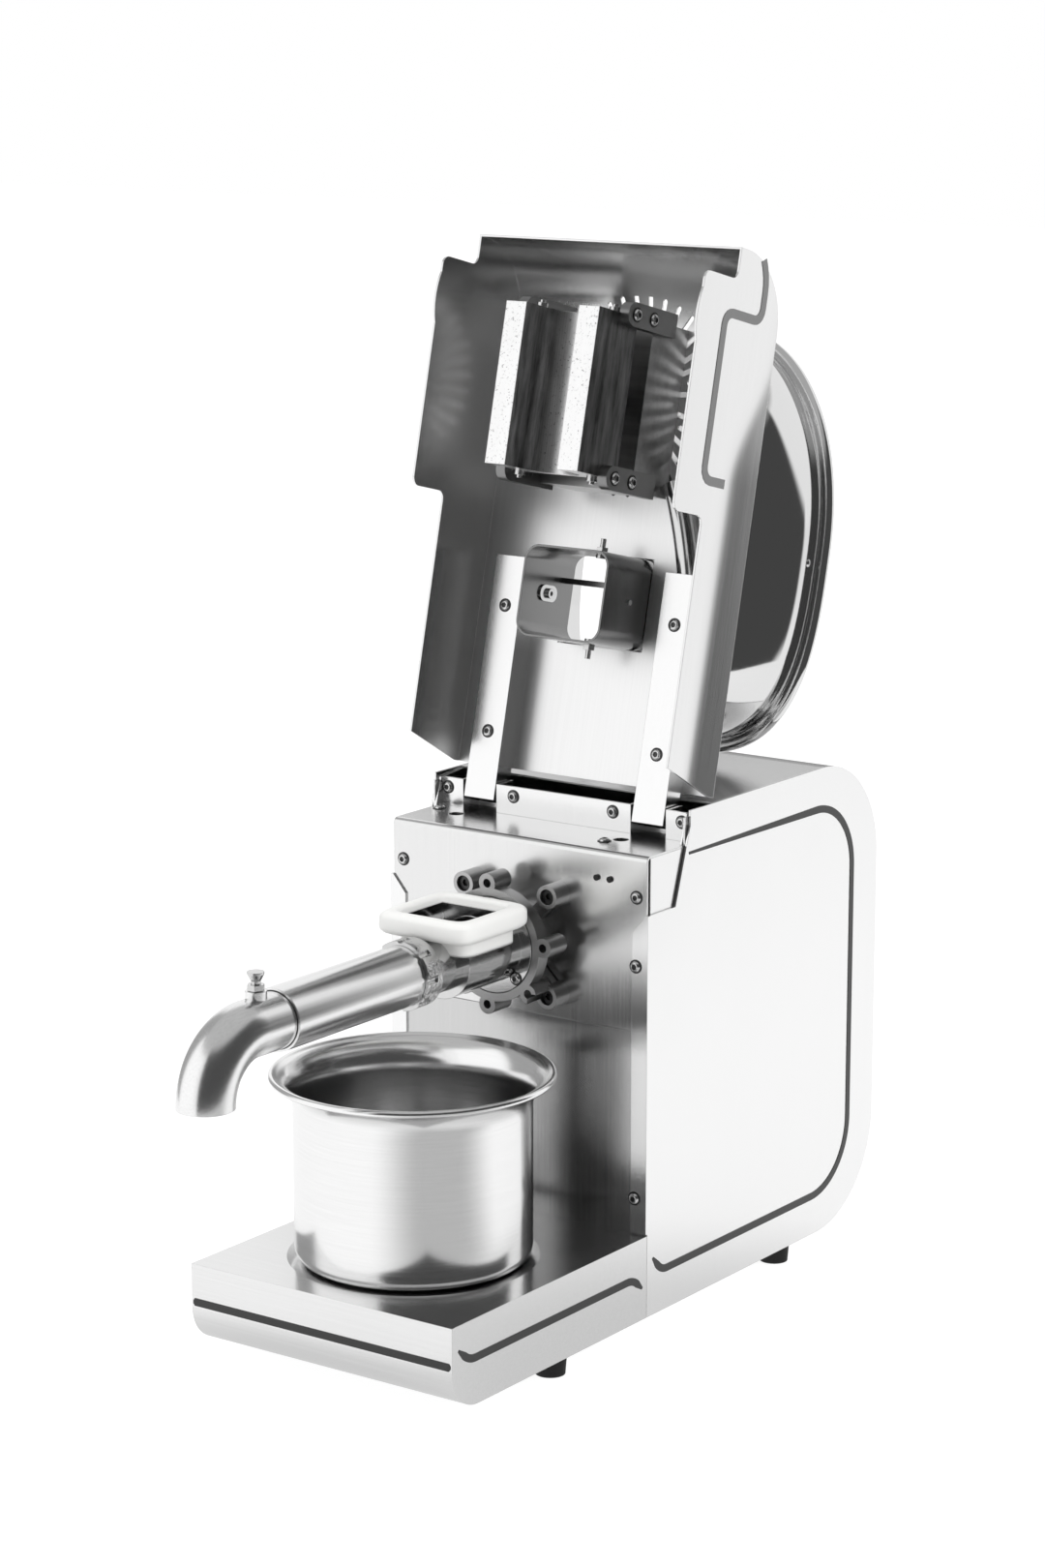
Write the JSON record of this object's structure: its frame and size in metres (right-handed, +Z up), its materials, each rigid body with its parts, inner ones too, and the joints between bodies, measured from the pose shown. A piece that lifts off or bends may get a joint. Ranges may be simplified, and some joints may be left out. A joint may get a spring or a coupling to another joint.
{
  "type": "electric screw oil press",
  "caption": "Table-top screw oil press with tray and bowl under a horizontal barrel, and a hinged lid that carries the hopper and a heater block; the lid stands open.",
  "frame": {"origin": "on the floor under the middle of the box around the press with its lid open", "axes": "+X is the right side seen from the front, +Y points to the rear wall, +Z is up"},
  "size_m": [0.1706, 0.5126, 0.578],
  "materials": {
    "casing_steel": "brushed",
    "chassis_steel": "galvanised",
    "polished_steel": "polished stainless steel",
    "cast_aluminium": "sand cast",
    "insulation_board": "mineral board",
    "zinc_steel": "zinc plated",
    "dark_steel": "machined and oiled",
    "motor_paint": "matte",
    "rotor_iron": "laminated",
    "black_plastic": "moulded",
    "board_green": "laminate",
    "black_rubber": "moulded",
    "dark_tape": "tape",
    "white_plastic": "moulded"
  },
  "bodies": {
    "casing": {"base_tray": "casing_steel", "side_panel_right": "casing_steel", "side_panel_left": "casing_steel", "front_panel": "casing_steel", "lower_front_panel": "casing_steel", "rear_shell": "casing_steel", "hinge_bracket": "casing_steel", "chassis": "chassis_steel", "motor_cradle": "chassis_steel", "barrel_sleeve": "polished_steel", "press_barrel": "polished_steel", "gearbox_flange": "cast_aluminium", "gearbox_housing": "cast_aluminium", "gearbox_cover": "cast_aluminium", "press_chamber": "cast_aluminium", "panel_screws": "zinc_steel", "hinge_pin": "zinc_steel", "flange_screws": "dark_steel", "chamber_screws": "dark_steel", "shaft_bearings": "dark_steel", "motor_can": "motor_paint", "motor_end_bell": "motor_paint", "mains_inlet": "black_plastic", "fuse_holder": "black_plastic", "switch_frames": "black_plastic", "lid_switch": "black_plastic", "control_board": "board_green", "rubber_feet": "black_rubber", "body_stripes": "dark_tape", "feed_collar": "white_plastic"},
    "lid": {"lid_shell": "casing_steel", "hopper": "polished_steel", "hopper_chute": "polished_steel", "guard_bar": "polished_steel", "chute_fasteners": "zinc_steel", "hinge_strap_right": "casing_steel", "hinge_strap_left": "casing_steel", "strap_screws": "zinc_steel", "heater_block": "cast_aluminium", "heater_cartridges": "zinc_steel", "heater_brackets": "cast_aluminium", "heater_mount": "insulation_board", "heater_screws": "dark_steel", "heater_lead": "zinc_steel", "thermostat": "black_plastic", "lid_stripes": "dark_tape"},
    "screw": {"press_screw": "dark_steel", "output_gear": "dark_steel"},
    "intermediate": {"intermediate_gear": "dark_steel"},
    "rotor": {"motor_rotor": "rotor_iron", "cooling_fan": "black_plastic"},
    "spout": {"elbow_spout": "polished_steel"},
    "thumb": {"thumb_screw": "zinc_steel"},
    "ring": {"lock_ring": "polished_steel"},
    "bowl": {"oil_bowl": "polished_steel"},
    "press_switch": {"press_rocker": "black_plastic"},
    "heat_switch": {"heat_rocker": "black_plastic"}
  },
  "joints": [
    {"name": "lid_hinge", "type": "hinge", "parent": "casing", "child": "lid", "pos_m": [0, 0.0688, 0.276], "axis": [1, 0, 0], "range_deg": [0, 103.5]},
    {"name": "rotor_spin", "type": "hinge", "parent": "casing", "child": "rotor", "pos_m": [0, 0.1188, 0.141], "axis": [0, 1, 0], "continuous": true},
    {"name": "intermediate_spin", "type": "hinge", "parent": "casing", "child": "intermediate", "pos_m": [0, 0.0468, 0.1735], "axis": [0, 1, 0], "continuous": true},
    {"name": "screw_spin", "type": "hinge", "parent": "casing", "child": "screw", "pos_m": [0, 0.0188, 0.211], "axis": [0, 1, 0], "continuous": true},
    {"name": "spout_swivel", "type": "hinge", "parent": "casing", "child": "spout", "pos_m": [0, -0.1812, 0.211], "axis": [0, 1, 0], "range_deg": [-90, 90]},
    {"name": "thumb_turn", "type": "hinge", "parent": "spout", "child": "thumb", "pos_m": [0, -0.202, 0.227], "axis": [0, 0, 1], "continuous": true},
    {"name": "ring_turn", "type": "hinge", "parent": "casing", "child": "ring", "pos_m": [0, -0.0792, 0.211], "axis": [0, 1, 0], "continuous": true},
    {"name": "bowl_out", "type": "slide", "parent": "casing", "child": "bowl", "axis": [0.9806, 0, 0.1961], "range_m": [0, 0.2]},
    {"name": "press_switch_rock", "type": "hinge", "parent": "casing", "child": "press_switch", "pos_m": [0.034, 0.2503, 0.092], "axis": [1, 0, 0], "range_deg": [0, 16]},
    {"name": "heat_switch_rock", "type": "hinge", "parent": "casing", "child": "heat_switch", "pos_m": [0.058, 0.2503, 0.092], "axis": [1, 0, 0], "range_deg": [0, 16]}
  ],
  "couplings": [
    {"joint": "intermediate_spin", "follows": "rotor_spin", "ratio": -0.3},
    {"joint": "screw_spin", "follows": "rotor_spin", "ratio": 0.075}
  ]
}
